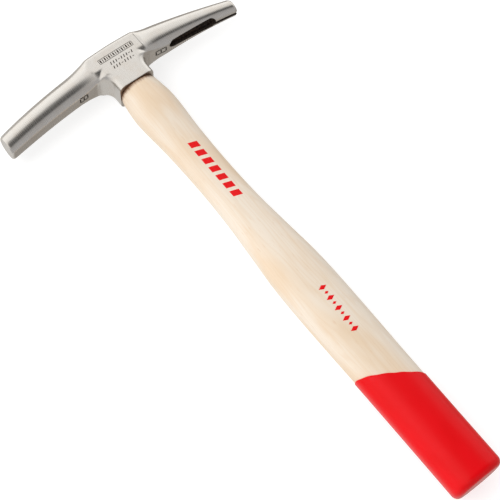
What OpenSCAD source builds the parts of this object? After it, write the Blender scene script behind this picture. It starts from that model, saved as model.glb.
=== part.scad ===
// Magnetic tack hammer: a slim arched steel head wedged on an oval hardwood handle.
// It lies on its side. X runs along the head from the solid face to the split face, Y runs
// along the handle towards the head, and Z is the normal of the upper cheek.
// The modules work from the handle's axis and the collar's lower edge; in_place() then
// moves them so that the origin is under the middle of the whole tool.

/* [Head] */
// Distance from the handle's axis to the solid striking face
strike_reach = 72.5; // [60:0.5:85]
// Distance from the handle's axis to the split magnetic face
split_reach = 70; // [60:0.5:85]
// Diameter of the solid striking face, over its chamfer
strike_d = 13.9; // [12:0.1:16]
// Diameter of the split face, over its chamfer
split_d = 9.8; // [8.5:0.1:11]
// Chamfer round both faces
face_chamfer = 1.1; // [0.4:0.1:1.5]
// Height of the faces' centres above the collar's lower edge
face_level = 10.5; // [8:0.1:12]
// Rise of the head's arched centre line from the faces to the eye
arch_rise = 8.4; // [4:0.1:10]
// Thickness across the two flat cheeks
cheek_t = 18.6; // [16.5:0.1:20]
// Height of the head's bar at the eye
cheek_h = 15.1; // [13.5:0.1:16]
// Half length of the flat cheeks along the head
cheek_half = 14.5; // [13:0.5:17]
// Length over which each cheek falls away to its arm
cheek_fade = 11.5; // [8:0.5:14]
// Width of the collar along the head
collar_w = 20.8; // [19:0.1:24]
// Radius of the collar's upright corners
collar_r = 3.3; // [2:0.1:4]
// Radius of the hollow between each arm and the collar
hollow_r = 6; // [3:0.5:8]

/* [Eye and wedges] */
// Length of the eye along the head
eye_l = 16; // [14:0.1:17]
// Width of the eye across the cheeks
eye_w = 10.6; // [9:0.1:12]
// Thickness of the wooden wedge at its head
wood_wedge_t = 3; // [2:0.1:4]
// Depth of the wooden wedge
wood_wedge_depth = 19; // [12:0.5:21]
// Width, head thickness and depth of the steel wedge
steel_wedge_size = [9, 1.8, 13]; // [1:0.1:14]
// Angle of the steel wedge across the wooden one
steel_wedge_turn = 90; // [60:5:90]

/* [Magnet] */
// Distance from the split face to the mouth of the magnet's pocket
pocket_setback = 13; // [10:0.1:16]
// Length of the magnet's pocket
pocket_l = 29; // [24:0.5:31]
// Width of the magnet's pocket
pocket_w = 6; // [3:0.1:7]
// Width of the slit from the pocket out to the face
slit_w = 2; // [0.8:0.1:3]
// Length and thickness of the magnet bar
magnet_size = [22, 4.2]; // [2:0.1:24]
// Depth that the magnet lies inside the arm's upper and lower faces
magnet_inset = 1.4; // [0.8:0.1:2]
// Height of the potting over the magnet
bedding_over = 0.5; // [0.1:0.1:0.7]

/* [Handle] */
// Length of the handle from the collar to its butt
handle_l = 259; // [200:0.5:300]
// Exponent of the handle's oval; 2 is an ellipse and more is squarer
oval_power = 2.35; // [2:0.05:3]
// Radius of the edge at the butt
butt_r = 3; // [1:0.1:5]
// Height of the rounded edge where the wood meets the collar
shoulder_r = 0.6; // [0.5:0.1:2]

/* [Grip coat] */
// Thickness of the dipped coat
coat_t = 0.4; // [0.3:0.05:0.8]
// Length of the coat along the handle's axis, from the butt
coat_l = 60; // [30:1:90]
// Slant of the coat's edge across the handle
coat_slant = 33; // [0:1:45]

/* [Hidden] */
FINE = 96;
BAR_STEP = 3;
HANDLE_STEP = 5;
OVAL_SIDES = 32;
BUTT_RINGS = 4;

// Half a face's octagon, flat to flat, when its corners lie on the face's circle
corner_share = 0.6;
corner_reach = sqrt(1 + corner_share * corner_share);
strike_h = strike_d / 2 / corner_reach;
split_h = split_d / 2 / corner_reach;
bar_h = cheek_h / 2;
head_top = face_level + arch_rise + bar_h;
arch_power = 1.9;
split_power = 1.1;
neck_l = 1.6;

// Handle stations: distance below the collar, width along the head, thickness
STATIONS = [
    [0, 20.4, 17.8], [15.5, 23.8, 19.2], [39, 21.1, 17.8], [64, 20, 17], [87, 21.1, 17.6],
    [110, 24.6, 19.4], [128, 27.5, 21], [150, 28.3, 21.4], [197, 27.4, 20.8], [259, 27, 20.6]
];
station_scale = handle_l / STATIONS[len(STATIONS) - 1][0];

butt_y = -handle_l - coat_t;
rest_half_t = max([max([for (s = STATIONS) s[2]]) / 2, size_at(handle_l - coat_l, 2) / 2 + coat_t]);
shift = [(strike_reach - split_reach) / 2, -(head_top + butt_y) / 2, rest_half_t];

// ---- head ----

// Share of the way from a face (0) to the eye (1)
function inward(x) = x < 0 ? 1 + x / strike_reach : 1 - x / split_reach;
function centre_y(x) = face_level + arch_rise * (1 - pow(1 - inward(x), arch_power));
function arm_h(x) = x < 0
    ? strike_h + (bar_h - strike_h) * inward(x)
    : split_h + (bar_h - split_h) * pow(min(1, (split_reach - x) / (split_reach - cheek_fade - cheek_half)),
                                        split_power);
function fade(x) = max(0, min(1, (abs(x) - cheek_half) / cheek_fade));
function half_t(x) = arm_h(x) * fade(x) + cheek_t / 2 * (1 - fade(x));

// One octagonal ring of the bar, square to X; the corner cut is narrower on the cheeks
function ring(x) =
    let (h = arm_h(x), t = half_t(x), cut = (1 - corner_share) * (h * fade(x) + bar_h * 0.55 * (1 - fade(x))))
    [for (p = [[h, t - cut], [h - cut, t], [cut - h, t], [-h, t - cut],
               [-h, cut - t], [cut - h, -t], [h - cut, -t], [h, cut - t]])
        [x, centre_y(x) + p[0], p[1]]];

// Skin over a list of rings that all have the same number of points, closed at both ends
module skin(rings) {
    count = len(rings);
    sides = len(rings[0]);
    points = [for (r = rings) each r];
    walls = [for (i = [0:count - 2], j = [0:sides - 1])
        let (k = (j + 1) % sides)
        each [[i * sides + j, (i + 1) * sides + j, i * sides + k],
              [i * sides + k, (i + 1) * sides + j, (i + 1) * sides + k]]];
    first = [for (j = [0:sides - 1]) j];
    last = [for (j = [sides - 1:-1:0]) (count - 1) * sides + j];
    polyhedron(points = points, faces = concat([first], walls, [last]), convexity = 6);
}

module bar() {
    from = -strike_reach + neck_l;
    to = split_reach - neck_l;
    steps = ceil((to - from) / BAR_STEP);
    skin([for (i = [0:steps]) ring(from + (to - from) * i / steps)]);
}

// Round end of an arm: a short neck, and the face inside its chamfer
module face_end(reach, d) {
    side = sign(reach);
    translate([reach, face_level, 0])
        rotate([0, -side * 90, 0]) {
            cylinder(d1 = d - 2 * face_chamfer, d2 = d, h = face_chamfer, $fn = FINE);
            translate([0, 0, face_chamfer])
                cylinder(d = d, h = neck_l + 0.2 - face_chamfer, $fn = FINE);
        }
}

// A flat shape drawn in X and Z, given thickness along Y from the height y
module upright(y, h) {
    translate([0, y, 0])
        rotate([-90, 0, 0])
            linear_extrude(height = h)
                children();
}

module collar_outline() {
    for (x = [-1, 1], z = [-1, 1])
        translate([x * (collar_w / 2 - collar_r), z * (cheek_t / 2 - collar_r)])
            circle(r = collar_r, $fn = FINE);
    square([collar_w - 2 * collar_r, cheek_t], center = true);
    square([collar_w, cheek_t - 2 * collar_r], center = true);
}

// Web that fills the corner under one arm and leaves a round hollow
module hollow(side) {
    under = centre_y(cheek_half) - bar_h;
    web_t = cheek_t - 2 * collar_r;
    translate([0, 0, -web_t / 2])
        linear_extrude(height = web_t)
            difference() {
                translate([side > 0 ? collar_w / 2 - 1 : -collar_w / 2 - hollow_r, under - hollow_r])
                    square([hollow_r + 1, hollow_r + 2]);
                translate([side * (collar_w / 2 + hollow_r), under - hollow_r])
                    circle(r = hollow_r, $fn = FINE);
            }
}

module eye_outline() {
    span = eye_l - eye_w;
    square([span, eye_w], center = true);
    for (x = [-1, 1])
        translate([x * span / 2, 0])
            circle(d = eye_w, $fn = FINE);
}

// Outline of the magnet's pocket in X and Z, with round ends
module pocket_outline() {
    inner = split_reach - pocket_setback - pocket_l + pocket_w / 2;
    outer = split_reach - pocket_setback - pocket_w / 2;
    translate([(inner + outer) / 2, 0])
        square([outer - inner, pocket_w], center = true);
    for (x = [inner, outer])
        translate([x, 0])
            circle(d = pocket_w, $fn = FINE);
}

module head() {
    color("silver")
        difference() {
            union() {
                bar();
                face_end(-strike_reach, strike_d);
                face_end(split_reach, split_d);
                upright(0, centre_y(0)) collar_outline();
                for (side = [-1, 1])
                    hollow(side);
            }
            upright(-1, head_top + 2) eye_outline();
            upright(0, head_top + 1) pocket_outline();
            translate([split_reach - pocket_setback - 1, 0, -slit_w / 2])
                cube([pocket_setback + 2, head_top, slit_w]);
        }
}

// ---- magnet ----

pocket_in = split_reach - pocket_setback - pocket_l;
pocket_out = split_reach - pocket_setback;
pocket_mid = (pocket_in + pocket_out) / 2;
arm_slope = atan((centre_y(pocket_out) - centre_y(pocket_in)) / pocket_l);
magnet_h = 2 * (arm_h(pocket_out) - magnet_inset);

module magnet_block() {
    translate([pocket_mid, centre_y(pocket_mid), 0])
        rotate([0, 0, arm_slope])
            cube([magnet_size[0], magnet_h, magnet_size[1]], center = true);
}

module magnet() {
    color("dimgray")
        magnet_block();
}

// Side view of the potting, which stops short of the arm's upper and lower faces
module bedding_side() {
    stations = [pocket_in, pocket_mid, pocket_out];
    depth = magnet_inset - bedding_over;
    low = [for (x = stations) [x, centre_y(x) - arm_h(x) + depth]];
    high = [for (i = [2:-1:0]) [stations[i], centre_y(stations[i]) + arm_h(stations[i]) - depth]];
    polygon(concat(low, high));
}

// Potting that fills the pocket round the magnet
module magnet_bedding() {
    color("saddlebrown")
        difference() {
            intersection() {
                upright(0, head_top) pocket_outline();
                translate([0, 0, -pocket_w])
                    linear_extrude(height = 2 * pocket_w)
                        bedding_side();
            }
            magnet_block();
        }
}

// ---- handle ----

// Catmull-Rom value of column c between stations i and i + 1
function blend(i, c, u) =
    let (last = len(STATIONS) - 1,
         a = STATIONS[max(0, i - 1)][c], b = STATIONS[i][c],
         d = STATIONS[i + 1][c], e = STATIONS[min(last, i + 2)][c],
         run = STATIONS[i + 1][0] - STATIONS[i][0],
         mb = i == 0 ? d - b : (d - a) * run / (STATIONS[i + 1][0] - STATIONS[i - 1][0]),
         md = i + 1 == last ? 0 : (e - b) * run / (STATIONS[i + 2][0] - STATIONS[i][0]))
    (2 * u * u * u - 3 * u * u + 1) * b + (u * u * u - 2 * u * u + u) * mb
    + (3 * u * u - 2 * u * u * u) * d + (u * u * u - u * u) * md;
function station_below(s) = max([for (i = [0:len(STATIONS) - 2]) if (STATIONS[i][0] <= s) i]);
function size_at(s, c) =
    let (i = station_below(s), u = (s - STATIONS[i][0]) / (STATIONS[i + 1][0] - STATIONS[i][0]))
    blend(i, c, u);

function oval(s, y, inset) = [for (j = [0:OVAL_SIDES - 1])
    let (a = 360 * j / OVAL_SIDES, n = 2 / oval_power)
    [(size_at(s, 1) / 2 - inset) * sign(cos(a)) * pow(abs(cos(a)), n), y,
     (size_at(s, 2) / 2 - inset) * sign(sin(a)) * pow(abs(sin(a)), n)]];

// Handle below the collar; grow adds the coat's thickness all over
module grip(grow) {
    body_l = handle_l - butt_r;
    steps = ceil(body_l / HANDLE_STEP);
    skin(concat(
        [oval(0, 0, shoulder_r - grow)],
        [for (i = [0:steps])
            let (s = shoulder_r + (body_l - shoulder_r) * i / steps)
            oval(s / station_scale, -s, -grow)],
        [for (i = [1:BUTT_RINGS])
            let (a = 90 * i / BUTT_RINGS)
            oval((body_l + butt_r * sin(a)) / station_scale, -body_l - (butt_r + grow) * sin(a),
                 butt_r * (1 - cos(a)) - grow)]));
}

// Wedge that tapers to an edge along X, with its head at the top of the eye
module taper(width, thick, depth) {
    translate([-width / 2, 0, 0])
        rotate([90, 0, 90])
            linear_extrude(height = width)
                polygon([[tenon_top, -thick / 2], [tenon_top, thick / 2], [tenon_top - depth, 0]]);
}

tenon_top = head_top - 0.3;

module wood_wedge_shape() {
    intersection() {
        taper(eye_l, wood_wedge_t, wood_wedge_depth);
        upright(0, tenon_top) eye_outline();
    }
}

module steel_wedge_shape() {
    rotate([0, steel_wedge_turn, 0])
        taper(steel_wedge_size[0], steel_wedge_size[1], steel_wedge_size[2]);
}

module handle() {
    color("blanchedalmond")
        difference() {
            union() {
                grip(0);
                upright(-1, tenon_top + 1) eye_outline();
            }
            wood_wedge_shape();
            steel_wedge_shape();
        }
}

module wood_wedge() {
    color("peru")
        difference() {
            wood_wedge_shape();
            steel_wedge_shape();
        }
}

module steel_wedge() {
    color("gray")
        steel_wedge_shape();
}

// ---- coat ----

module grip_coat() {
    color("red")
        difference() {
            grip(coat_t);
            grip(0);
            translate([0, coat_l - handle_l, 0])
                rotate([0, 0, -coat_slant])
                    translate([-handle_l, 0, -handle_l])
                        cube([2 * handle_l, 2 * handle_l, 2 * handle_l]);
        }
}

// ---- whole tool ----

module in_place() {
    translate(shift)
        children();
}

in_place() head();
in_place() magnet();
in_place() magnet_bedding();
in_place() handle();
in_place() wood_wedge();
in_place() steel_wedge();
in_place() grip_coat();
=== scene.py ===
"""Looks of a magnetic tack hammer, built around its fixed frame.

The tool lies on its side: X runs along the head from the solid face to the split face, Y runs along
the handle towards the head, and Z is the normal of the upper cheek. The classes work in millimetres
from the datum, where the handle's axis meets the collar's lower edge in the middle of the head's
thickness. Datum.place() takes a finished mesh to its place in the frame, in metres.
"""

import logging
import math
from dataclasses import dataclass, field
from enum import Enum
from typing import Any, Callable

import bmesh
import bpy
from mathutils import Matrix, Vector, noise

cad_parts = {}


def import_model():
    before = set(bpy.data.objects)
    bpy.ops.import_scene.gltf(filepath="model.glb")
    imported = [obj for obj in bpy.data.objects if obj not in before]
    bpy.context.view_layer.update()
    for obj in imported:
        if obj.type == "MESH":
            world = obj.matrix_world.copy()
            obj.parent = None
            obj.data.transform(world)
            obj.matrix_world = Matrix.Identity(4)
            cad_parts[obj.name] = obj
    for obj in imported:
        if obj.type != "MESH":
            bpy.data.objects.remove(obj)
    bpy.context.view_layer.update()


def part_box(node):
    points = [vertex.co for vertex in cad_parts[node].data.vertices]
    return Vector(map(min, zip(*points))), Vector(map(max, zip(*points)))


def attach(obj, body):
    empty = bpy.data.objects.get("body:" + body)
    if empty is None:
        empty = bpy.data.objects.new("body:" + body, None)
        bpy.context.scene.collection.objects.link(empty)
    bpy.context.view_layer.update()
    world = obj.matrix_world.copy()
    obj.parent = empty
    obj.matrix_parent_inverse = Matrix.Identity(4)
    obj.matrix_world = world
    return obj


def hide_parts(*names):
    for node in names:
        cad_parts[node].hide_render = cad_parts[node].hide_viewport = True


LOG = logging.getLogger("tack_hammer")
MM = 0.001
BODY = "root"

Tree = bpy.types.NodeTree
Node = bpy.types.Node
BMesh = bmesh.types.BMesh
Links = dict[int | str, Any] | tuple[Any, ...]

# Node types, and the settings that go with them, in the finishes and the tent.
NOISE = "ShaderNodeTexNoise"
RANGE = "ShaderNodeMapRange"
BLEND = "ShaderNodeMix"
VECTOR = "ShaderNodeVectorMath"
MATH = "ShaderNodeMath"
BUMP = "ShaderNodeBump"
SMOOTH = {"interpolation_type": "SMOOTHSTEP"}
COLOUR = {"data_type": "RGBA"}


# ---- small tools ----


def linear(hex_colour: str) -> tuple[float, float, float, float]:
    """Turns an sRGB hex colour to linear light.

    Args:
        hex_colour: Six hex digits, such as "d8b27a".

    Returns:
        Red, green, blue and an alpha of 1.
    """
    shares = [int(hex_colour[i : i + 2], 16) / 255 for i in (0, 2, 4)]
    light = [s / 12.92 if s <= 0.04045 else ((s + 0.055) / 1.055) ** 2.4 for s in shares]
    return (light[0], light[1], light[2], 1.0)


def mix(a: float, b: float, share: float) -> float:
    """Returns the value a share of the way from a to b."""
    return a + (b - a) * share


def clamp(value: float, low: float = 0.0, high: float = 1.0) -> float:
    """Returns the value held between low and high."""
    return max(low, min(high, value))


def ease(share: float) -> float:
    """Returns a share from 0 to 1 that starts and ends gently."""
    held = clamp(share)
    return held * held * (3 - 2 * held)


def connect(node: Node, links: Links) -> None:
    """Gives a node its inputs.

    Args:
        node: The node.
        links: What its inputs get, by their names or numbers or in their order. Each is a socket, a
            node, which stands for its first shown output, or a plain value.
    """
    for key, value in links.items() if isinstance(links, dict) else enumerate(links):
        if isinstance(value, Node):
            value = next(output for output in value.outputs if output.enabled)
        if isinstance(value, bpy.types.NodeSocket):
            node.id_data.links.new(value, node.inputs[key])
        else:
            node.inputs[key].default_value = value


def add_node(tree: Tree, kind: str, links: Links = (), **settings: Any) -> Node:
    """Adds one node with its settings and inputs.

    Args:
        tree: The node tree that takes the node.
        kind: The node's type, such as "ShaderNodeMath".
        links: Its inputs, as connect() takes them.
        settings: The node's own properties.

    Returns:
        The new node.
    """
    node = tree.nodes.new(kind)
    for name, value in settings.items():
        setattr(node, name, value)
    connect(node, links)
    return node


def loft(bm: BMesh, rings: list[list[Vector]], open_end: bool = False) -> None:
    """Sweeps a closed ring of points through the given places, and caps its ends.

    Args:
        bm: The mesh that takes the loft.
        rings: The places of the ring's points, one list for each stop; all have the same length.
        open_end: Leaves the last ring uncapped.
    """
    count = len(rings[0])
    ring = list(bmesh.ops.create_circle(bm, cap_ends=True, segments=count, radius=1.0)["verts"])
    for vert, place in zip(ring, rings[0]):
        vert.co = place
    for places in rings[1:]:
        edges = [bm.edges.get((ring[i], ring[(i + 1) % count])) for i in range(count)]
        number = {vert: i for i, vert in enumerate(ring)}
        grown = bmesh.ops.extrude_edge_only(bm, edges=edges)["geom"]
        for vert in (g for g in grown if isinstance(g, bmesh.types.BMVert)):
            parents = [edge.other_vert(vert) for edge in vert.link_edges]
            index = next(number[parent] for parent in parents if parent in number)
            ring[index] = vert
            vert.co = places[index]
    if not open_end:
        edges = [bm.edges.get((ring[i], ring[(i + 1) % count])) for i in range(count)]
        bmesh.ops.contextual_create(bm, geom=edges)
    bmesh.ops.recalc_face_normals(bm, faces=bm.faces)


def block(bm: BMesh, centre: Vector, size: Vector, turn: Matrix | None = None) -> None:
    """Adds a box, used as a cutter.

    Args:
        bm: The mesh that takes it.
        centre: The box's centre.
        size: Its three sides.
        turn: A rotation about its centre.
    """
    turned = turn.to_4x4() if turn else Matrix()
    place = Matrix.Translation(centre) @ turned @ Matrix.Diagonal(size).to_4x4()
    bmesh.ops.create_cube(bm, size=1.0, matrix=place)


def new_object(name: str, bm: BMesh) -> bpy.types.Object:
    """Makes an object from a bmesh, which it frees.

    Args:
        name: The object's name.
        bm: Its mesh.

    Returns:
        The object, linked to the scene.
    """
    mesh = bpy.data.meshes.new(name)
    bm.to_mesh(mesh)
    bm.free()
    obj = bpy.data.objects.new(name, mesh)
    bpy.context.scene.collection.objects.link(obj)
    return obj


def bake(obj: bpy.types.Object) -> None:
    """Applies every modifier of an object to its mesh.

    Args:
        obj: The object.
    """
    bpy.context.view_layer.update()
    shown = obj.evaluated_get(bpy.context.evaluated_depsgraph_get())
    mesh = bpy.data.meshes.new_from_object(shown)
    old = obj.data
    obj.modifiers.clear()
    obj.data = mesh
    bpy.data.meshes.remove(old)
    mesh.name = obj.name


def carve(obj: bpy.types.Object, cutter: bpy.types.Object) -> None:
    """Takes the cutter's volume out of an object, and deletes the cutter.

    Args:
        obj: The object to cut.
        cutter: A closed mesh; its faces bring their material number to the cut.
    """
    cut = obj.modifiers.new("cut", "BOOLEAN")
    cut.operation = "DIFFERENCE"
    cut.solver = "MANIFOLD"
    cut.object = cutter
    bake(obj)
    bpy.data.objects.remove(cutter)


def smooth_by_angle(obj: bpy.types.Object, degrees: float) -> None:
    """Shades an object smooth, and keeps edges over that angle sharp."""
    obj.data.shade_smooth()
    obj.data.set_sharp_from_angle(angle=math.radians(degrees))


@dataclass(frozen=True)
class Datum:
    """The point that the millimetre sizes are measured from, in the frame."""

    origin: Vector

    @classmethod
    def from_head(cls, strike_reach: float) -> "Datum":
        """Finds the datum from the frame's head.

        Args:
            strike_reach: Distance from the handle's axis to the solid face.

        Returns:
            The datum.
        """
        low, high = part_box("head")
        return cls(Vector((low.x + strike_reach * MM, low.y, (low.z + high.z) / 2)))

    def place(self, obj: bpy.types.Object) -> None:
        """Takes a mesh in millimetres from the datum to its place in the frame."""
        obj.data.transform(Matrix.Translation(self.origin) @ Matrix.Scale(MM, 4))


def dress(obj: bpy.types.Object, materials: list[bpy.types.Material]) -> None:
    """Gives an object its materials.

    Args:
        obj: The object.
        materials: The materials in the order of the faces' numbers.
    """
    obj.data.materials.clear()
    for material in materials:
        obj.data.materials.append(material)


# ---- finishes ----


@dataclass(frozen=True)
class Finish:
    """Base of the finishes: a material with a Principled shader that reads object coordinates."""

    name: str

    def start(self) -> tuple[bpy.types.Material, Tree, Node, Node]:
        """Makes the material's shader and its coordinates.

        Returns:
            The material, its tree, its Principled node and the object coordinates in millimetres.
        """
        material = bpy.data.materials.new(self.name)
        material.use_nodes = True
        tree = material.node_tree
        shader = next(n for n in tree.nodes if n.type == "BSDF_PRINCIPLED")
        where = add_node(tree, "ShaderNodeTexCoord").outputs["Object"]
        return material, tree, shader, add_node(tree, VECTOR, (where, (1 / MM,) * 3), operation="MULTIPLY")


@dataclass(frozen=True)
class Speckled(Finish):
    """Base of the plain rough finishes: two colours in fine spots, which may stand in relief."""

    colour: str
    other: str
    spot: tuple[float, float, float]
    detail: float
    fineness: float
    low: float
    high: float
    most: float = 1.0
    relief: float = 0.0
    smoothest: float = 0.7
    roughest: float = 0.7
    metallic: float = 0.0
    specular: float = 0.5

    def make(self) -> bpy.types.Material:
        """Builds the material.

        Returns:
            The material.
        """
        material, tree, shader, where = self.start()
        spread = add_node(tree, VECTOR, (where, tuple(1 / s for s in self.spot)), operation="MULTIPLY")
        grit = {0: spread, "Scale": 1.0, "Detail": self.detail, "Roughness": self.fineness}
        spots = add_node(tree, NOISE, grit)
        share = add_node(tree, RANGE, (spots, self.low, self.high, 0.0, self.most), **SMOOTH)
        tone = add_node(tree, BLEND, {0: share, 6: linear(self.colour), 7: linear(self.other)}, **COLOUR)
        connect(shader, {
            "Base Color": tone,
            "Roughness": self.roughest,
            "Metallic": self.metallic,
            "Specular IOR Level": self.specular,
        })
        if self.smoothest < self.roughest:
            gloss = (spots, 0.3, 0.7, self.smoothest, self.roughest)
            connect(shader, {"Roughness": add_node(tree, RANGE, gloss, **SMOOTH)})
        if self.relief:
            bump = add_node(tree, BUMP, {"Height": spots, "Distance": self.relief * MM, "Strength": 1.0})
            connect(shader, {"Normal": bump})
        return material


@dataclass(frozen=True)
class GroundSteel(Finish):
    """Drop-forged carbon steel, ground on a belt and left satin under clear lacquer.

    Grinding leaves fine lines across the head, so its sheen is drawn out along the head and the flats
    carry faint warm and cool streaks.
    """

    name: str = "ground_forged_steel"
    colour: str = "d2cec9"
    streak: str = "b9b2aa"
    cloud: str = "c9bdb0"
    roughness: float = 0.27

    def make(self) -> bpy.types.Material:
        """Builds the material.

        Returns:
            The material.
        """
        material, tree, shader, where = self.start()
        # Belt lines are about 0.05 mm apart, drawn at 0.45 mm so that they show.
        across = add_node(tree, VECTOR, (where, (1 / 0.45, 1 / 9, 1 / 9)), operation="MULTIPLY")
        lines = add_node(tree, NOISE, {0: across, "Scale": 1.0, "Detail": 3.0, "Roughness": 0.6})
        wide = add_node(tree, VECTOR, (where, (1 / 7, 1 / 5, 1 / 5)), operation="MULTIPLY")
        clouds = add_node(tree, NOISE, {0: wide, "Scale": 1.0, "Detail": 3.0, "Roughness": 0.55})
        streaks = add_node(tree, RANGE, (lines, 0.3, 0.7, 0.0, 0.15), **SMOOTH)
        tone = add_node(tree, BLEND, {0: streaks, 6: linear(self.colour), 7: linear(self.streak)}, **COLOUR)
        warmth = add_node(tree, RANGE, (clouds, 0.42, 0.72, 0.0, 0.3), **SMOOTH)
        rough = (lines, 0.25, 0.75, self.roughness - 0.02, self.roughness + 0.03)
        connect(shader, {
            "Base Color": add_node(tree, BLEND, {0: warmth, 6: tone, 7: linear(self.cloud)}, **COLOUR),
            "Roughness": add_node(tree, RANGE, rough, **SMOOTH),
            "Normal": add_node(tree, BUMP, {"Height": lines, "Distance": 0.0006 * MM, "Strength": 1.0}),
            "Metallic": 1.0,
        })
        return material


@dataclass(frozen=True)
class BurntOxide(Speckled):
    """Steel darkened by marking and heat: a matt brown-black film in the cuts and the eye."""

    name: str = "burnt_oxide"
    colour: str = "4a4038"
    other: str = "241e1a"
    spot: tuple[float, float, float] = (0.6, 0.6, 0.6)
    detail: float = 2.0
    fineness: float = 0.5
    low: float = 0.35
    high: float = 0.65
    smoothest: float = 0.75
    roughest: float = 0.75
    specular: float = 0.2


@dataclass(frozen=True)
class BlackIron(Speckled):
    """Cast or rolled iron with a dark skin, as the magnet and the steel wedge have."""

    name: str = "black_iron"
    colour: str = "3d3936"
    other: str = "7c7670"
    spot: tuple[float, float, float] = (0.5, 0.5, 0.5)
    detail: float = 3.0
    fineness: float = 0.6
    low: float = 0.45
    high: float = 0.75
    most: float = 0.3
    relief: float = 0.04
    smoothest: float = 0.4
    roughest: float = 0.6
    metallic: float = 0.85


@dataclass(frozen=True)
class BrownPotting(Speckled):
    """Filled epoxy, poured round the magnet and left rough: dark brown with paler grit."""

    name: str = "brown_potting"
    colour: str = "120c09"
    other: str = "4c3b2e"
    spot: tuple[float, float, float] = (0.9, 0.9, 0.9)
    detail: float = 4.0
    fineness: float = 0.65
    low: float = 0.45
    high: float = 0.7
    most: float = 0.9
    relief: float = 0.25
    smoothest: float = 0.8
    roughest: float = 0.8
    specular: float = 0.12


@dataclass(frozen=True)
class SawnWedgeWood(Speckled):
    """Hardwood wedge sawn across: mid brown end grain."""

    name: str = "sawn_wedge_wood"
    colour: str = "a9763f"
    other: str = "6f4721"
    spot: tuple[float, float, float] = (0.6, 8.0, 0.6)
    detail: float = 3.0
    fineness: float = 0.6
    low: float = 0.35
    high: float = 0.68
    relief: float = 0.08


@dataclass(frozen=True)
class SandedHickory(Finish):
    """Hickory sapwood, turned, sanded along the grain and sealed clear.

    It is pale cream with straight faint growth lines, short darker pores and a few warmer patches,
    and it turns darker brown in a band just below the steel collar.
    """

    name: str = "sanded_hickory"
    pale: str = "e3d6c6"
    warm: str = "dec8ae"
    late: str = "d2b28c"
    fibre: str = "dabf9d"
    pore: str = "cfa983"
    # Darker brown of the band just below the collar.
    collar_band: str = "6b4526"
    collar_y: float = 0.0
    collar_band_length: float = 3.0
    ring_gap: float = 1.6
    fray: float = 3.2

    def make(self) -> bpy.types.Material:
        """Builds the material.

        Returns:
            The material.
        """
        material, tree, shader, where = self.start()
        noises = {}
        for name, size, detail, rough in (
            ("drift", (16.0, 140.0, 16.0), 2.0, 0.5),
            # Pores are 0.2 mm wide and a few millimetres long, drawn 0.5 mm wide so that they show.
            ("pores", (0.5, 7.0, 0.5), 2.0, 0.6),
            ("fibres", (1.1, 60.0, 1.1), 3.0, 0.6),
            ("patches", (12.0, 45.0, 12.0), 2.0, 0.5),
        ):
            spread = add_node(tree, VECTOR, (where, tuple(1 / s for s in size)), operation="MULTIPLY")
            grain = {0: spread, "Scale": 1.0, "Detail": detail, "Roughness": rough}
            noises[name] = add_node(tree, NOISE, grain)
        # Growth rings of sapwood are about 1.6 mm apart, and run straight along the handle.
        split = add_node(tree, "ShaderNodeSeparateXYZ", (where,)).outputs
        across = add_node(tree, MATH, (split[0], 0.45, split[2]), operation="MULTIPLY_ADD")
        shifted = add_node(tree, MATH, (noises["drift"], 22.0, across), operation="MULTIPLY_ADD")
        phase = add_node(tree, MATH, (shifted, 2 * math.pi / self.ring_gap), operation="MULTIPLY")
        ring = add_node(tree, MATH, (phase,), operation="SINE")
        # The first millimetres below the collar are blended to a darker brown, with a frayed edge.
        edge = add_node(tree, MATH, (self.collar_y, split[1]), operation="SUBTRACT")
        frayed = add_node(tree, MATH, (noises["fibres"], -self.fray, edge), operation="MULTIPLY_ADD")
        tone = linear(self.pale)
        for value, low, high, to_low, to_high, colour in (
            (noises["patches"], 0.38, 0.68, 0.0, 1.0, self.warm),
            (ring, 0.2, 1.0, 0.0, 0.16, self.late),
            (noises["fibres"], 0.5, 0.78, 0.0, 0.4, self.fibre),
            (noises["pores"], 0.62, 0.8, 0.0, 0.55, self.pore),
            (frayed, -1.3, self.collar_band_length - 1.6, 0.95, 0.0, self.collar_band),
        ):
            share = add_node(tree, RANGE, (value, low, high, to_low, to_high), **SMOOTH)
            tone = add_node(tree, BLEND, {0: share, 6: tone, 7: linear(colour)}, **COLOUR)
        connect(shader, {
            "Base Color": tone,
            "Roughness": add_node(tree, RANGE, (noises["fibres"], 0.3, 0.7, 0.42, 0.55), **SMOOTH),
            "Normal": add_node(
                tree, BUMP, {"Height": noises["pores"], "Distance": 0.03 * MM, "Strength": 0.6}
            ),
            "Coat Weight": 0.08,
            "Coat Roughness": 0.35,
        })
        return material


@dataclass(frozen=True)
class DippedRed(Finish):
    """Red vinyl lacquer, dipped: an even gloss film with a slight orange-peel ripple."""

    name: str = "dipped_red_lacquer"
    colour: str = "dd0c14"
    deep: str = "d80a10"
    ripple: float = 0.002

    def make(self) -> bpy.types.Material:
        """Builds the material.

        Returns:
            The material.
        """
        material, tree, shader, where = self.start()
        wide = add_node(tree, VECTOR, (where, (1 / 9, 1 / 20, 1 / 9)), operation="MULTIPLY")
        clouds = add_node(tree, NOISE, {0: wide, "Scale": 1.0, "Detail": 2.0, "Roughness": 0.5})
        fine = add_node(tree, VECTOR, (where, (1 / 1.6,) * 3), operation="MULTIPLY")
        peel = add_node(tree, NOISE, {0: fine, "Scale": 1.0, "Detail": 1.0, "Roughness": 0.5})
        share = add_node(tree, RANGE, (clouds, 0.35, 0.7, 0.0, 1.0), **SMOOTH)
        tone = add_node(tree, BLEND, {0: share, 6: linear(self.colour), 7: linear(self.deep)}, **COLOUR)
        connect(shader, {
            "Base Color": tone,
            "Normal": add_node(tree, BUMP, {"Height": peel, "Distance": self.ripple * MM, "Strength": 1.0}),
            "Roughness": add_node(tree, RANGE, (peel, 0.3, 0.7, 0.13, 0.17), **SMOOTH),
            "IOR": 1.5,
            "Specular IOR Level": 0.16,
        })
        return material


# ---- the head ----


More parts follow.
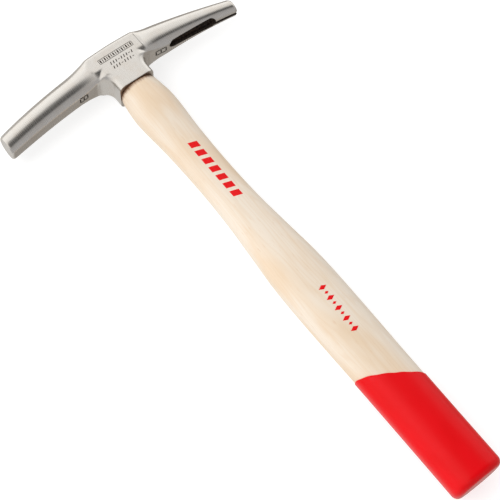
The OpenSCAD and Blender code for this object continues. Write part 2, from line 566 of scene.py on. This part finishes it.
class Wall(Enum):
    """What a face of the head shows, by the number of its material slot."""

    STEEL = 0
    OXIDE = 1


@dataclass(frozen=True)
class ArmShape:
    """How the faces of one arm are formed."""

    reach: float
    face_d: float
    fade: float
    crown: float
    crown_power: float
    share_in: float
    share_out: float
    taper_power: float


@dataclass(frozen=True)
class HeadShape:
    """Sizes of the steel head, in millimetres, and the rules of its section."""

    strike: ArmShape = ArmShape(72.5, 13.9, 15.0, 0.26, 2.0, 0.58, 0.58, 0.65)
    split: ArmShape = ArmShape(70.0, 9.8, 13.0, 0.15, 3.0, 0.56, 0.5, 1.1)
    face_chamfer: float = 1.1
    face_level: float = 10.5
    arch_rise: float = 8.4
    arch_power: float = 1.9
    cheek_t: float = 18.6
    cheek_h: float = 15.1
    cheek_half: float = 14.5
    cheek_fade: float = 11.5
    corner_reach: float = math.hypot(1, 0.6)
    collar_w: float = 20.8
    collar_r: float = 3.3
    hollow_r: float = 6.0
    eye_l: float = 16.0
    eye_w: float = 10.6
    pocket_setback: float = 13.0
    pocket_l: float = 29.0
    pocket_w: float = 6.0
    slit_w: float = 2.0
    pocket_lean: float = 0.28
    pocket_run: float = 8.0
    cheek_crown: float = 0.2
    cheek_cut: float = 1.7
    flat: float = 0.12

    def arm(self, x: float) -> ArmShape:
        """Returns the arm that x is on."""
        return self.strike if x < 0 else self.split

    def inward(self, x: float) -> float:
        """Returns the share of the way from a face (0) to the eye (1)."""
        return 1 - abs(x) / self.arm(x).reach

    def centre_y(self, x: float) -> float:
        """Returns the height of the arched centre line."""
        return self.face_level + self.arch_rise * (1 - (1 - self.inward(x)) ** self.arch_power)

    def half_height(self, x: float) -> float:
        """Returns half the bar's height, flat to flat.

        Args:
            x: Distance from the handle's axis.

        Returns:
            The height, which swells from the faces to the cheeks.
        """
        bar = self.cheek_h / 2
        tip = self.arm(x).face_d / 2 / self.corner_reach
        if x < 0:
            return mix(tip, bar, self.inward(x) ** self.strike.taper_power)
        run = self.split.reach - self.cheek_fade - self.cheek_half
        return mix(tip, bar, min(1.0, (self.split.reach - x) / run) ** self.split.taper_power)

    def faded(self, x: float) -> float:
        """Returns 0 on the cheeks and 1 out on the arms."""
        share = clamp((abs(x) - self.cheek_half) / self.arm(x).fade)
        return share * (2 - share)

    def lean(self, point: Vector) -> Vector:
        """Returns a point of the magnet's pocket, leaned about the arm's centre line."""
        return point + Vector((0, 0, self.pocket_lean * (self.centre_y(point.x) - point.y)))

    def pocket_ring(self, y: float, grow: float, count: int) -> list[Vector]:
        """Works out the pocket's outline, whose inner end runs out more gently than its mouth.

        Args:
            y: Its level.
            grow: How far it is grown outward all round.
            count: How many points it has; a multiple of four.

        Returns:
            Its points, before the pocket is leaned.
        """
        middle = self.split.reach - self.pocket_setback - self.pocket_l / 2
        points = []
        for p in stadium(self.pocket_l, self.pocket_w, y, grow, count):
            share = clamp((p.x + self.pocket_l / 2 + grow) / self.pocket_run)
            points.append(Vector((p.x + middle, p.y, p.z * math.sqrt(mix(0.55, 1.0, share)))))
        return points

    def top(self) -> float:
        """Returns the height of the head's crown above the collar's lower edge."""
        return self.centre_y(0) + self.cheek_h / 2

    def ring(self, x: float, per_facet: int) -> list[Vector]:
        """Works out the bar's section square to X: an octagon with crowned facets.

        Args:
            x: Distance from the handle's axis.
            per_facet: Points along each facet.

        Returns:
            The ring's points, cut back to the face's cone near the ends.
        """
        arm, faded = self.arm(x), self.faded(x)
        half = self.half_height(x)
        share = mix(arm.share_in, arm.share_out, ease((abs(x) - 18) / (arm.reach - 26)))
        out = half * self.corner_reach / math.hypot(1, share)
        high = mix(half, out, ease((abs(x) - self.cheek_half) / arm.fade))
        cut = mix(self.cheek_cut, (1 - share) * high, faded)
        tall = high - self.flat
        crown = arm.crown * (tall - cut)
        rear = mix(self.cheek_t / 2 + crown, high, faded) - crown
        near = mix(self.cheek_t / 2 + self.cheek_crown * crown, high, faded) - crown
        corners = [
            (tall, rear - cut), (tall - cut, rear), (cut - tall, near), (-tall, near - cut),
            (-tall, cut - near), (cut - tall, -near), (tall - cut, -rear), (tall, cut - rear),
        ]
        bulges = [(self.flat, 2.0), (crown, arm.crown_power), (self.flat, 2.0), (self.flat, 2.0)] * 2
        limit = arm.face_d / 2 - max(0.0, self.face_chamfer - (arm.reach - abs(x)))
        points = []
        for (y0, z0), (y1, z1), (bulge, power) in zip(corners, corners[1:] + corners[:1], bulges):
            away = Vector((z1 - z0, y0 - y1)).normalized()
            for i in range(per_facet):
                u = i / per_facet
                lift = bulge * (1 - abs(2 * u - 1) ** power)
                y, z = mix(y0, y1, u) + away.x * lift, mix(z0, z1, u) + away.y * lift
                z = clamp(z, -self.cheek_t / 2, self.cheek_t / 2)
                far = math.hypot(y, z)
                near_face = ease((abs(x) - arm.reach + 6) / 4)
                shrink = mix(1.0, min(1.0, limit / far), near_face)
                points.append(Vector((x, self.centre_y(x) + y * shrink, z * shrink)))
        return points


@dataclass(frozen=True)
class Stroke:
    """One straight cut of a stamped mark: its middle, its length, its width and its slant."""

    x: float
    y: float
    length: float
    width: float
    slant: float = 0.0


@dataclass
class Head:
    """The forged steel head with its collar, eye, magnet pocket and plain stamped marks."""

    shape: HeadShape
    datum: Datum
    step: float = 1.2
    per_facet: int = 14
    voxel: float = 0.36
    smoothing: int = 4
    eye_flare: float = 0.35
    mark_depth: float = 0.12

    def bar(self, bm: BMesh) -> None:
        """Adds the arched bar, a little longer than the head so that its faces can be cut flat.

        Args:
            bm: The mesh that takes it.
        """
        s = self.shape
        spare = 0.5
        stops = math.ceil((s.strike.reach + s.split.reach) / self.step)
        places = [-s.strike.reach + (s.strike.reach + s.split.reach) * i / stops for i in range(stops + 1)]
        near = [0.4, 0.8, s.face_chamfer, s.face_chamfer + 0.3]
        places += [-s.strike.reach + n for n in near] + [s.split.reach - n for n in near]
        rings = [s.ring(x, self.per_facet) for x in sorted(set(places))]
        before = [p + Vector((-spare, 0, 0)) for p in rings[0]]
        after = [p + Vector((spare, 0, 0)) for p in rings[-1]]
        loft(bm, [before, *rings, after])

    def collar(self, bm: BMesh) -> None:
        """Adds the collar: a rounded rectangle that flares into the arms above it.

        Args:
            bm: The mesh that takes it.
        """
        s = self.shape
        under = s.centre_y(s.cheek_half) - s.cheek_h / 2
        start = under - s.hollow_r
        turns = [math.radians(6 * i) for i in range(16)]
        stops = [(-0.6, 0.0), (0.0, 0.0)]
        stops += [(start + s.hollow_r * math.sin(a), s.hollow_r * (1 - math.cos(a))) for a in turns]
        stops.append((s.centre_y(0), s.hollow_r))
        loft(bm, [self.collar_ring(y, flare) for y, flare in stops])

    def collar_ring(self, y: float, flare: float) -> list[Vector]:
        """Works out one level of the collar.

        Args:
            y: The level.
            flare: How far its ends reach past the collar's own width.

        Returns:
            The points of a rounded rectangle.
        """
        s = self.shape
        half, side = s.collar_w / 2 + flare, s.cheek_t / 2
        radius = s.collar_r + 0.6 * flare
        points = []
        for sx, sz, first in ((1, 1, 0), (-1, 1, 90), (-1, -1, 180), (1, -1, 270)):
            for i in range(13):
                a = math.radians(first + 7.5 * i)
                centre = Vector((sx * (half - radius), y, sz * (side - radius)))
                points.append(centre + Vector((math.cos(a), 0, math.sin(a))) * radius)
        return points

    def blank(self) -> bpy.types.Object:
        """Joins the bar and the collar into one skin with softened inner corners.

        Returns:
            The uncut head.
        """
        bm = bmesh.new()
        self.bar(bm)
        self.collar(bm)
        obj = new_object("head_forging", bm)
        skin = obj.modifiers.new("skin", "REMESH")
        skin.mode = "VOXEL"
        skin.voxel_size = self.voxel * 1
        bake(obj)
        s = self.shape
        bm = bmesh.new()
        bm.from_mesh(obj.data)
        for _ in range(self.smoothing):
            bmesh.ops.smooth_vert(
                bm, verts=bm.verts, factor=0.5, use_axis_x=True, use_axis_y=True, use_axis_z=True
            )
        for place, normal in (
            ((-s.strike.reach, 0, 0), (-1, 0, 0)),
            ((s.split.reach, 0, 0), (1, 0, 0)),
            ((0, 0, 0), (0, -1, 0)),
            ((0, 0, s.cheek_t / 2), (0, 0, 1)),
            ((0, 0, -s.cheek_t / 2), (0, 0, -1)),
            ((0, s.top(), 0), (0, 1, 0)),
        ):
            cut = bmesh.ops.bisect_plane(
                bm, geom=bm.verts[:] + bm.edges[:] + bm.faces[:], dist=1e-4,
                plane_co=place, plane_no=normal, clear_outer=True,
            )["geom_cut"]
            rim = [g for g in cut if isinstance(g, bmesh.types.BMEdge) and g.is_boundary]
            if rim:
                bmesh.ops.holes_fill(bm, edges=rim)
        bmesh.ops.recalc_face_normals(bm, faces=bm.faces)
        bm.to_mesh(obj.data)
        bm.free()
        return obj

    def eye_cutter(self) -> bpy.types.Object:
        """Makes the oval hole for the handle, a little wider at the top.

        Returns:
            The cutter.
        """
        s = self.shape
        flare = self.eye_flare
        levels = ((-2.0, 0.0), (s.top() - 1.2, 0.0), (s.top() + 0.1, flare), (s.top() + 2, flare))
        bm = bmesh.new()
        loft(bm, [stadium(s.eye_l, s.eye_w, y, grow, 48) for y, grow in levels])
        return new_object("eye_cutter", bm)

    def pocket_cutter(self) -> bpy.types.Object:
        """Makes the magnet's pocket, which goes through the arm from top to bottom.

        Returns:
            The cutter.
        """
        s = self.shape
        bm = bmesh.new()
        loft(bm, [[s.lean(p) for p in s.pocket_ring(y, 0.0, 64)] for y in (0.0, s.top() + 1)])
        return new_object("pocket_cutter", bm)

    def slit_cutter(self) -> bpy.types.Object:
        """Makes the narrow slit from the pocket out through the face.

        Returns:
            The cutter.
        """
        s = self.shape
        mouth = s.split.reach - s.pocket_setback
        long = s.pocket_setback + 3
        bm = bmesh.new()
        block(bm, Vector((mouth - 1 + long / 2, s.top() / 2, 0)), Vector((long, s.top() + 4, s.slit_w)))
        return new_object("slit_cutter", bm)

    def cheek_strokes(self) -> list[Stroke]:
        """Lays out the plain stamped marks of the cheek: a boxed row of bars and two rows of ticks.

        Returns:
            The strokes, the seam of the ground cheek first.
        """
        strokes = [Stroke(14.5, 18.6, 9.6, 0.18, 91)]
        left, right, low, high = -9.6, 10.9, 17.7, 20.4
        for y in (low, high):
            strokes.append(Stroke((left + right) / 2, y, right - left, 0.3))
        for x in (left, right):
            strokes.append(Stroke(x, (low + high) / 2, high - low, 0.3, 90))
        bars = 15
        for i in range(bars):
            x = mix(left + 1.0, right - 1.0, i / (bars - 1))
            strokes.append(Stroke(x, (low + high) / 2, high - low - 0.9, 0.42 if i % 2 else 0.75, 90))
        for y, start, end, count in ((15.1, -4.9, 7.9, 9), (12.3, -4.9, 6.9, 8)):
            for i in range(count):
                x = mix(start, end, i / (count - 1))
                if i % 4 == 3:
                    strokes.append(Stroke(x, y, 1.0, 0.36))
                else:
                    strokes.append(Stroke(x, y, 1.8, 0.5, 76))
        return strokes

    def mark_cutter(self) -> bpy.types.Object:
        """Makes the cutter of the cheek's stamped marks, all as deep.

        Returns:
            The cutter.
        """
        bm = bmesh.new()
        thick = 1.0
        z = self.shape.cheek_t / 2 - self.mark_depth + thick / 2
        for stroke in self.cheek_strokes():
            turn = Matrix.Rotation(math.radians(stroke.slant), 3, "Z")
            block(bm, Vector((stroke.x, stroke.y, z)), Vector((stroke.length, stroke.width, thick)), turn)
        for x, z, length, bars in ((-25.5, 1.4, 4.6, 3), (22.8, 1.2, 6.0, 3)):
            self.arm_stamp(bm, x, z, length, bars)
        return new_object("mark_cutter", bm)

    def arm_stamp(self, bm: BMesh, x: float, z: float, length: float, bars: int) -> None:
        """Adds the cutter of one small boxed mark on an arm's lower facet.

        Args:
            bm: The mesh that takes it.
            x: Its middle along the head.
            z: Its middle across the facet.
            length: Its length.
            bars: How many upright bars it has, its two ends among them.
        """
        s = self.shape
        tall, deep = 3.2, 0.35

        def under(place: float) -> float:
            """Returns the level of the arm's underside."""
            return min(p.y for p in s.ring(place, 2))

        slope = math.atan2(under(x + 1) - under(x - 1), 2)
        turn = Matrix.Rotation(slope, 3, "Z")
        middle = Vector((x, under(x) - 0.5 + deep, z))
        for side in (-0.5, 0.5):
            block(bm, middle + Vector((0, 0, side * tall)), Vector((length, 1.0, 0.7)), turn)
        for i in range(bars):
            along = turn @ Vector((length * (i / (bars - 1) - 0.5), 0, 0))
            block(bm, middle + along, Vector((0.75, 1.0, tall)), turn)

    def build(self) -> bpy.types.Object:
        """Builds the head, cuts it and dresses it.

        Returns:
            The head.
        """
        head = self.blank()
        finishes = {Wall.STEEL: GroundSteel(), Wall.OXIDE: BurntOxide()}
        materials = [finishes[wall].make() for wall in Wall]
        dress(head, materials)
        for cutter in (self.eye_cutter(), self.pocket_cutter(), self.slit_cutter(), self.mark_cutter()):
            dress(cutter, materials)
            for face in cutter.data.polygons:
                face.material_index = Wall.OXIDE.value
            carve(head, cutter)
        smooth_by_angle(head, 32)
        self.datum.place(head)
        head.name = "head_forging"
        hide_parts("head")
        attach(head, BODY)
        return head


def stadium(length: float, width: float, y: float, grow: float, count: int) -> list[Vector]:
    """Works out a round-ended slot in X and Z.

    Args:
        length: Its length along X.
        width: Its width along Z.
        y: Its level.
        grow: How far it is grown outward all round.
        count: How many points it has; a multiple of four.

    Returns:
        Its points, counted from +X towards +Z.
    """
    radius = width / 2 + grow
    span = (length - width) / 2
    points = []
    for i in range(count):
        a = 2 * math.pi * (i + 0.5) / count
        shift = span if math.cos(a) > 0 else -span
        points.append(Vector((shift + radius * math.cos(a), y, radius * math.sin(a))))
    return points


# ---- the magnet ----


@dataclass
class MagnetPocket:
    """The dark magnet bar in the split arm and the rough potting round it."""

    shape: HeadShape
    datum: Datum
    sink: float = 1.9
    lumps: float = 0.55

    def build(self) -> None:
        """Builds the potting round the magnet."""
        s = self.shape
        bm = bmesh.new()
        rings = []
        for i in range(13):
            share = i / 12
            ring = []
            for p in s.pocket_ring(0.0, 0.02, 96):
                low = s.centre_y(p.x) - s.half_height(p.x) + self.sink
                high = s.centre_y(p.x) + s.half_height(p.x) - self.sink
                ring.append(s.lean(Vector((p.x, mix(low, high, share), p.z))))
            rings.append(ring)
        loft(bm, rings)
        caps = [f for f in bm.faces if len(f.verts) > 4]
        for _ in range(5):
            bmesh.ops.inset_region(bm, faces=caps, thickness=0.4, use_even_offset=True)
        for vert in bm.verts:
            vert.co.y += self.lumps * noise.noise(vert.co * 0.9)
        obj = new_object("magnet_potting", bm)
        dress(obj, [BrownPotting().make()])
        smooth_by_angle(obj, 50)
        self.datum.place(obj)
        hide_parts("magnet_bedding")
        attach(obj, BODY)


# ---- the handle ----


@dataclass(frozen=True)
class Station:
    """One measured place of the handle: its distance below the collar, its width and thickness."""

    down: float
    width: float
    thick: float


@dataclass(frozen=True)
class HandleShape:
    """Sizes of the wooden handle, in millimetres, and the rule of its oval."""

    length: float = 259.0
    oval_power: float = 2.35
    butt_r: float = 3.0
    shoulder: float = 0.6
    stations: tuple[Station, ...] = (
        Station(0, 20.4, 17.8),
        Station(15.5, 23.8, 19.2),
        Station(39, 21.1, 17.8),
        Station(64, 20, 17),
        Station(87, 21.1, 17.6),
        Station(110, 24.6, 19.4),
        Station(128, 27.5, 21),
        Station(150, 28.3, 21.4),
        Station(197, 27.4, 20.8),
        Station(259, 27, 20.6),
    )

    def size_at(self, down: float) -> tuple[float, float]:
        """Returns the handle's width and thickness at a distance below the collar.

        Args:
            down: The distance.

        Returns:
            The width and the thickness, on a smooth curve through the stations.
        """
        st = self.stations
        last = len(st) - 1
        i = max(n for n in range(last) if st[n].down <= down)
        before, a, b, after = st[max(0, i - 1)], st[i], st[i + 1], st[min(last, i + 2)]
        run = b.down - a.down
        u = (down - a.down) / run

        def blend(v0: float, v1: float, v2: float, v3: float) -> float:
            """Works out the smooth curve's value between the second and third of four values.

            Args:
                v0: The value at the station before.
                v1: The value at the upper station.
                v2: The value at the lower station.
                v3: The value at the station after.

            Returns:
                The value.
            """
            m1 = v2 - v1 if i == 0 else (v2 - v0) * run / (b.down - before.down)
            m2 = 0.0 if i + 1 == last else (v3 - v1) * run / (after.down - a.down)
            hermite = (2 * u**3 - 3 * u**2 + 1) * v1 + (u**3 - 2 * u**2 + u) * m1
            return hermite + (3 * u**2 - 2 * u**3) * v2 + (u**3 - u**2) * m2

        return (
            blend(before.width, a.width, b.width, after.width),
            blend(before.thick, a.thick, b.thick, after.thick),
        )

    def ring(self, down: float, y: float, inset: float, count: int) -> list[Vector]:
        """Works out one oval of the handle.

        Args:
            down: Distance below the collar, which sets its size.
            y: The level that it is put at.
            inset: How far it is drawn in all round.
            count: How many points it has.

        Returns:
            Its points, counted from +X towards +Z.
        """
        width, thick = self.size_at(min(down, self.length))
        n = 2 / self.oval_power
        points = []
        for i in range(count):
            a = 2 * math.pi * (i + 0.5) / count
            c, s = math.cos(a), math.sin(a)
            x = (width / 2 - inset) * math.copysign(abs(c) ** n, c)
            z = (thick / 2 - inset) * math.copysign(abs(s) ** n, s)
            points.append(Vector((x, y, z)))
        return points

    def height_at(self, x: float, y: float) -> float:
        """Returns the height of the upper surface over a place on the handle.

        Args:
            x: Distance from the axis.
            y: Level, negative below the collar.

        Returns:
            The height above the axis.
        """
        width, thick = self.size_at(-y)
        across = min(1.0, abs(2 * x / width))
        return thick / 2 * (1 - across**self.oval_power) ** (1 / self.oval_power)


@dataclass
class Handle:
    """The hickory handle with its tenon, wedged in the eye."""

    shape: HandleShape
    head: HeadShape
    datum: Datum
    sides: int = 96
    step: float = 2.5
    tenon_drop: float = 0.3
    tenon_gap: float = 0.04
    kerf: tuple[float, float, float] = (20.0, 19.5, 3.04)
    cross_kerf: tuple[float, float, float] = (1.84, 13.5, 9.04)

    def rings(self) -> list[list[Vector]]:
        """Works out the rings from the butt up to the top of the tenon.

        Returns:
            The rings, all with the same number of points.
        """
        s, h = self.shape, self.head
        body = s.length - s.butt_r
        rings = []
        for i in range(7):
            a = math.radians(90 * (1 - i / 6))
            drop = s.butt_r * math.sin(a)
            rings.append(s.ring(body + drop, -body - drop, s.butt_r * (1 - math.cos(a)), self.sides))
        stops = math.ceil(body / self.step)
        for i in range(1, stops):
            down = mix(body, 2.2, i / (stops - 1))
            rings.append(s.ring(down, -down, 0.0, self.sides))
        for down, inset in ((1.5, 0.03), (0.8, 0.15), (0.25, 0.4), (0.02, s.shoulder)):
            rings.append(s.ring(down, -down, inset, self.sides))
        top = h.top() - self.tenon_drop
        for y, grow in ((0.0, -self.tenon_gap), (top - 0.25, -self.tenon_gap), (top, -self.tenon_gap - 0.2)):
            rings.append(stadium(h.eye_l, h.eye_w, y, grow, self.sides))
        return rings

    def kerf_cutter(self, size: Vector) -> bpy.types.Object:
        """Makes the cutter of one wedge's slot, down from the top of the tenon.

        Args:
            size: The slot's length along X, its depth and its length along Z.

        Returns:
            The cutter.
        """
        bm = bmesh.new()
        block(bm, Vector((0, self.head.top() - size.y / 2 + 0.5, 0)), size)
        return new_object("kerf_cutter", bm)

    def build(self) -> bpy.types.Object:
        """Builds the handle and dresses it.

        Returns:
            The handle.
        """
        bm = bmesh.new()
        loft(bm, self.rings())
        handle = new_object("hickory_handle", bm)
        collar_y = self.datum.origin.y / MM
        dress(handle, [SandedHickory(collar_y=collar_y).make()])
        for size in (self.kerf, self.cross_kerf):
            carve(handle, self.kerf_cutter(Vector(size)))
        smooth_by_angle(handle, 40)
        self.datum.place(handle)
        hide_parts("handle")
        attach(handle, BODY)
        return handle


@dataclass
class GripCoat:
    """The red dipped coat on the lower handle, with a slanted and slightly uneven edge."""

    shape: HandleShape
    datum: Datum
    thick: float = 0.4
    length: float = 60.5
    slant: float = 33.0
    wave: float = 0.45
    sides: int = 128

    def sway(self, x: float, z: float) -> float:
        """Returns how far the coat's edge strays from its plane at a point of the oval.

        Args:
            x: The point's distance from the axis along X.
            z: The same along Z.

        Returns:
            The distance along Y.
        """
        turn = math.atan2(z, x)
        slow = math.sin(2 * turn + 0.7) + 0.6 * math.sin(3 * turn + 2.1)
        return self.wave * slow + 0.12 * math.sin(11 * turn)

    def build(self) -> bpy.types.Object:
        """Builds the coat and dresses it.

        Returns:
            The coat.
        """
        s = self.shape
        body = s.length - s.butt_r
        rings = []
        for i in range(9):
            a = math.radians(90 * (1 - i / 8))
            drop = s.butt_r * math.sin(a)
            level = -body - (s.butt_r + self.thick) * math.sin(a)
            rings.append(s.ring(body + drop, level, s.butt_r * (1 - math.cos(a)) - self.thick, self.sides))
        stops = 60
        for i in range(1, stops):
            down = mix(body, s.length - self.length - 18, i / (stops - 1))
            rings.append(s.ring(down, -down, -self.thick, self.sides))
        bm = bmesh.new()
        loft(bm, rings, open_end=True)
        for vert in bm.verts:
            vert.co.y -= self.sway(vert.co.x, vert.co.z)
        tilt = math.radians(self.slant)
        bmesh.ops.bisect_plane(
            bm, geom=bm.verts[:] + bm.edges[:] + bm.faces[:], dist=1e-4,
            plane_co=(0, self.length - s.length, 0), plane_no=(math.sin(tilt), math.cos(tilt), 0),
            clear_outer=True,
        )
        for vert in bm.verts:
            vert.co.y += self.sway(vert.co.x, vert.co.z)
        coat = new_object("red_dip_coat", bm)
        wall = coat.modifiers.new("wall", "SOLIDIFY")
        wall.thickness = self.thick - 0.05
        wall.offset = -1
        bake(coat)
        dress(coat, [DippedRed().make()])
        smooth_by_angle(coat, 50)
        self.datum.place(coat)
        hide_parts("grip_coat")
        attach(coat, BODY)
        return coat


# ---- printed marks ----


@dataclass
class PrintedBars:
    """Plain red geometric prints on the handle."""

    shape: HandleShape
    datum: Datum
    lift: float = 0.03

    def lay(self, name: str, bm: BMesh) -> bpy.types.Object:
        """Bends flat shapes on to the handle and dresses them.

        Args:
            name: The piece's name.
            bm: Flat faces in X and Y.

        Returns:
            The printed piece.
        """
        for vert in bm.verts:
            vert.co.z = self.shape.height_at(vert.co.x, vert.co.y) + self.lift
        bmesh.ops.recalc_face_normals(bm, faces=bm.faces)
        obj = new_object(name, bm)
        film = obj.modifiers.new("film", "SOLIDIFY")
        film.thickness = 0.05
        film.offset = -1
        bake(obj)
        dress(obj, [DippedRed(name="printed_red_ink", ripple=0.002).make()])
        smooth_by_angle(obj, 50)
        self.datum.place(obj)
        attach(obj, BODY)
        return obj

    def upper(self) -> None:
        """Builds the bold row of slanted blocks nearer the head."""
        bm = bmesh.new()
        count, tall, wide, first, last = 7, 4.6, 3.5, -47.6, -81.2
        for i in range(count):
            centre = Vector((0.25, mix(first, last, i / (count - 1)), 0))
            made = bmesh.ops.create_grid(bm, x_segments=6, y_segments=5, size=0.5)["verts"]
            for vert in made:
                u, v = vert.co.x, vert.co.y
                vert.co = centre + Vector((u * tall, v * wide - u * 1.5, 0))
        self.lay("printed_blocks", bm)

    def lower(self) -> None:
        """Builds the lighter row of lozenges nearer the grip, small and large by turns."""
        bm = bmesh.new()
        count, first, last = 9, -146.0, -171.0
        for i in range(count):
            share = i / (count - 1)
            centre = Vector((mix(0.9, -0.4, share), mix(first, last, share), 0))
            made = bmesh.ops.create_grid(bm, x_segments=4, y_segments=4, size=0.5)["verts"]
            tall, wide = (2.4, 1.5) if i % 2 else (4.6, 2.4)
            for vert in made:
                u, v = vert.co.x, vert.co.y
                vert.co = centre + Vector(((u + v) * tall / 2, (u - v) * wide / 2, 0))
        self.lay("printed_lozenges", bm)


# ---- the studio ----


@dataclass
class Studio:
    """Camera, tent light and floor."""

    azimuth: float = -42.82
    elevation: float = 64.7
    roll: float = 4.97
    target: Vector = field(default_factory=lambda: Vector((-9.49, 9.96, 10.8)) * MM)
    distance: float = 628.17 * MM
    lens: float = 93.6

    def camera(self) -> None:
        """Makes the camera, which looks down on the tool from the solid face's side."""
        a, e, turn = (math.radians(v) for v in (self.azimuth, self.elevation, self.roll))
        back = Vector((math.sin(a) * math.cos(e), -math.cos(a) * math.cos(e), math.sin(e)))
        right = Vector((math.cos(a), math.sin(a), 0))
        up = back.cross(right)
        rolled = right * math.cos(turn) + up * math.sin(turn)
        up = up * math.cos(turn) - right * math.sin(turn)
        data = bpy.data.cameras.new("camera")
        data.lens = self.lens
        data.clip_start = 0.01
        cam = bpy.data.objects.new("camera", data)
        bpy.context.scene.collection.objects.link(cam)
        axes = Matrix((rolled, up, back)).transposed().to_4x4()
        cam.matrix_world = Matrix.Translation(self.target + back * self.distance) @ axes
        bpy.context.scene.camera = cam

    def tent(self) -> None:
        """Makes the light: a bright tent, darker low in front and at the gap that one looks in through."""
        world = bpy.data.worlds.new("tent")
        world.use_nodes = True
        tree = world.node_tree
        tree.nodes.clear()
        way = add_node(tree, "ShaderNodeTexCoord").outputs["Generated"]
        axes = add_node(tree, "ShaderNodeSeparateXYZ", (way,)).outputs
        gap_way = Vector((0.27, -0.28, 0.92)).normalized()
        aim = add_node(tree, VECTOR, (way, gap_way), operation="DOT_PRODUCT")
        gap_edge, gap_core = math.cos(math.radians(40)), math.cos(math.radians(8))
        front, rear, gap = (0.55, 0.55, 0.56, 1), (1.42, 1.42, 1.4, 1), (0.09, 0.09, 0.09, 1)
        over, over_split = (1.16, 1.15, 1.13, 1), (0.82, 0.81, 0.79, 1)
        bench, bench_split = (0.78, 0.77, 0.75, 1), (0.42, 0.395, 0.365, 1)

        rearward, rightward, upward, to_gap, bench_right, above = [
            add_node(tree, RANGE, (value, start, end, 0, 1), **SMOOTH)
            for value, start, end in (
                (axes[1], -0.55, 0.6), (axes[0], 0.2, 0.6), (axes[2], 0.55, 0.95),
                (aim, gap_edge, gap_core), (axes[0], -0.15, 0.35), (axes[2], -0.06, 0.06),
            )
        ]
        walls = add_node(tree, BLEND, {0: rearward, 6: front, 7: rear}, **COLOUR)
        roof = add_node(tree, BLEND, {0: rightward, 6: over, 7: over_split}, **COLOUR)
        dome = add_node(tree, BLEND, {0: upward, 6: walls, 7: roof}, **COLOUR)
        gapped = add_node(tree, BLEND, {0: to_gap, 6: dome, 7: gap}, **COLOUR)
        low = add_node(tree, BLEND, {0: bench_right, 6: bench, 7: bench_split}, **COLOUR)
        whole = add_node(tree, BLEND, {0: above, 6: low, 7: gapped}, **COLOUR)
        shine = add_node(tree, "ShaderNodeBackground", {"Color": whole, "Strength": 1.0})
        add_node(tree, "ShaderNodeOutputWorld", {"Surface": shine})
        bpy.context.scene.world = world

    def softbox(self) -> None:
        """Hangs one large soft lamp over the tool, on the side of the solid face."""
        data = bpy.data.lights.new("softbox", "AREA")
        data.shape = "DISK"
        data.size = 0.9
        data.energy = 6.0
        lamp = bpy.data.objects.new("softbox", data)
        bpy.context.scene.collection.objects.link(lamp)
        lamp.location = Vector((-0.75, 0.35, 0.95))
        lamp.rotation_euler = (Vector((0, 0, 0)) - lamp.location).to_track_quat("-Z", "Y").to_euler()
        lamp.visible_glossy = False

    def floor(self) -> None:
        """Lays a plain pale light table as the floor, which the steel doesn't mirror."""
        bm = bmesh.new()
        bmesh.ops.create_grid(bm, x_segments=1, y_segments=1, size=3.0)
        floor = new_object("floor", bm)
        material = bpy.data.materials.new("matt_white_board")
        material.use_nodes = True
        shader = next(n for n in material.node_tree.nodes if n.type == "BSDF_PRINCIPLED")
        connect(shader, {
            "Base Color": (0.4, 0.4, 0.4, 1),
            "Emission Color": (1, 1, 1, 1),
            "Emission Strength": 0.72,
            "Roughness": 1.0,
        })
        floor.data.materials.append(material)
        floor.data.transform(Matrix.Translation((0, 0, -0.0004)))
        floor.visible_glossy = False

    def build(self) -> None:
        """Makes the camera, the light and the floor."""
        self.camera()
        self.tent()
        self.softbox()
        self.floor()
        bpy.context.scene.view_settings.view_transform = "Standard"


def dress_node(name: str, finish: Finish) -> None:
    """Gives a CAD node that stays in view its finish.

    Args:
        name: The node.
        finish: What it is made of.
    """
    bpy.data.objects[name].data.materials.clear()
    bpy.data.objects[name].data.materials.append(finish.make())


def corners(box: tuple[Vector, Vector]) -> list[list[float]]:
    """Returns a box's two corners as plain lists."""
    return [list(corner) for corner in box]


def main() -> None:
    """Builds the tool piece by piece around the loaded frame."""
    logging.basicConfig(level=logging.INFO, format="%(message)s")
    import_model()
    Studio().build()
    head_shape, handle_shape = HeadShape(), HandleShape()
    datum = Datum.from_head(head_shape.strike.reach)
    builders: dict[str, Callable[[], Any]] = {
        "head": Head(head_shape, datum).build,
        "magnet pocket": MagnetPocket(head_shape, datum).build,
        "handle": Handle(handle_shape, head_shape, datum).build,
        "coat": GripCoat(handle_shape, datum).build,
        "upper print": PrintedBars(handle_shape, datum).upper,
        "lower print": PrintedBars(handle_shape, datum).lower,
    }
    for name, build in builders.items():
        build()
        LOG.info("built the %s", name)
    dress_node("magnet", BlackIron(name="sintered_magnet"))
    dress_node("wood_wedge", SawnWedgeWood())
    wedge_steel = BlackIron(name="rolled_wedge_steel", colour="6b6763", other="a39d96")
    dress_node("steel_wedge", wedge_steel)


if __name__ == "__main__":
    main()
